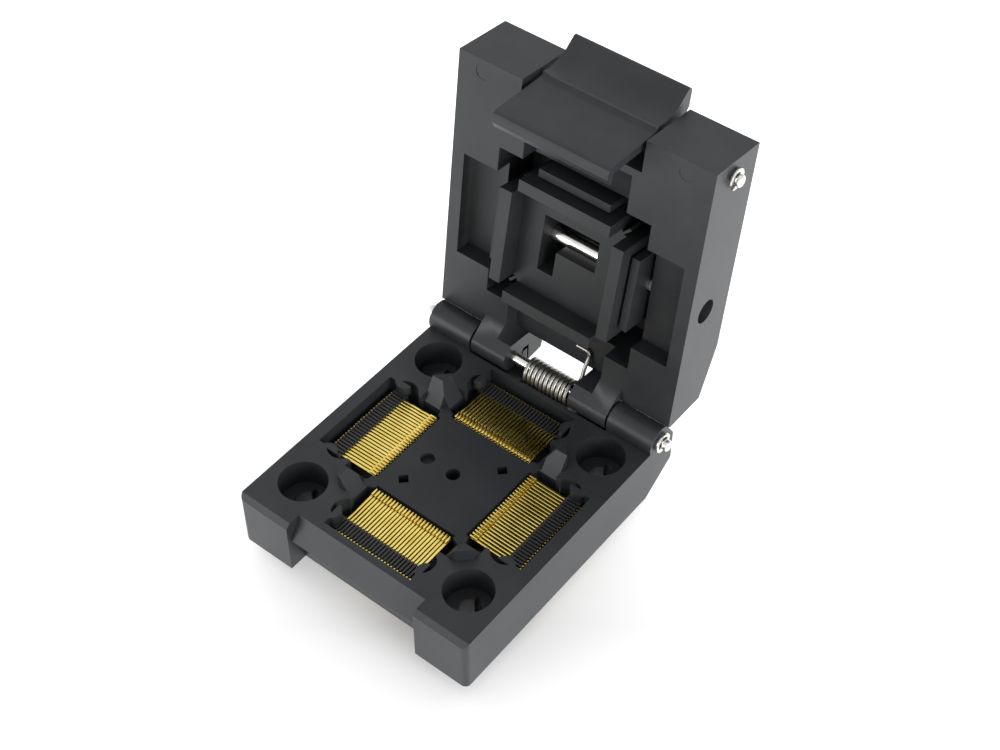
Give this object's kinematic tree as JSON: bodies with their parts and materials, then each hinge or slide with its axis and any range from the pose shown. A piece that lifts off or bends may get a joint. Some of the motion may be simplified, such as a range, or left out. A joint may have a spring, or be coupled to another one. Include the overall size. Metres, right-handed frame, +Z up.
{
  "type": "ic test socket",
  "caption": "Open-top test socket for a quad flat chip, with spring contacts on four sides of a platform and a hinged clamp lid with a latch.",
  "frame": {"origin": "centre of the underside that lies on the board, below the middle of the contact pattern", "axes": "+X along the hinge to the socket's right, +Y from the latch side to the hinge, +Z up from the board"},
  "size_m": [0.0398, 0.0551, 0.0547],
  "materials": {
    "black_plastic": "satin moulded",
    "pad_plastic": "satin moulded",
    "gold_plate": "gold-plated spring alloy",
    "bright_steel": "bright drawn",
    "dark_steel": "tempered"
  },
  "bodies": {
    "base": {"base_housing": "black_plastic", "chip_platform": "black_plastic", "contact_row_front": "gold_plate", "contact_row_right": "gold_plate", "contact_row_back": "gold_plate", "contact_row_left": "gold_plate", "tail_plate": "black_plastic", "plate_screw_1": "bright_steel", "plate_screw_2": "bright_steel", "plate_screw_3": "bright_steel", "plate_screw_4": "bright_steel", "hinge_shaft": "bright_steel", "hinge_ring_left": "dark_steel", "hinge_ring_right": "dark_steel", "hinge_spring": "bright_steel"},
    "lid": {"lid_cover": "black_plastic", "pad_pin_left": "bright_steel", "pad_pin_right": "bright_steel", "pad_spring_left": "bright_steel", "pad_spring_right": "bright_steel", "latch_shaft": "bright_steel", "latch_ring_left": "dark_steel", "latch_ring_right": "dark_steel", "latch_spring_left": "bright_steel", "latch_spring_right": "bright_steel"},
    "pad": {"pressure_pad": "pad_plastic"},
    "latch": {"latch_lever": "black_plastic"}
  },
  "joints": [
    {"name": "lid_hinge", "type": "hinge", "parent": "base", "child": "lid", "pos_m": [0, 0.0193, 0.00955], "axis": [1, 0, 0], "range_deg": [0, 97], "stiffness_Nm_per_rad": 0.01, "springref_deg": -34.38, "deforming": ["hinge_spring"]},
    {"name": "pad_rock", "type": "hinge", "parent": "lid", "child": "pad", "pos_m": [0, 0.02632, 0.02778], "axis": [1, 0, 0], "range_deg": [0, 8], "stiffness_Nm_per_rad": 0.01, "springref_deg": -17.19, "deforming": ["pad_spring_left", "pad_spring_right"]},
    {"name": "latch_swing", "type": "hinge", "parent": "lid", "child": "latch", "pos_m": [0, 0.02895, 0.04756], "axis": [1, 0, 0], "range_deg": [-12, 0], "stiffness_Nm_per_rad": 0.02, "springref_deg": 17.19, "deforming": ["latch_spring_left", "latch_spring_right"]}
  ]
}
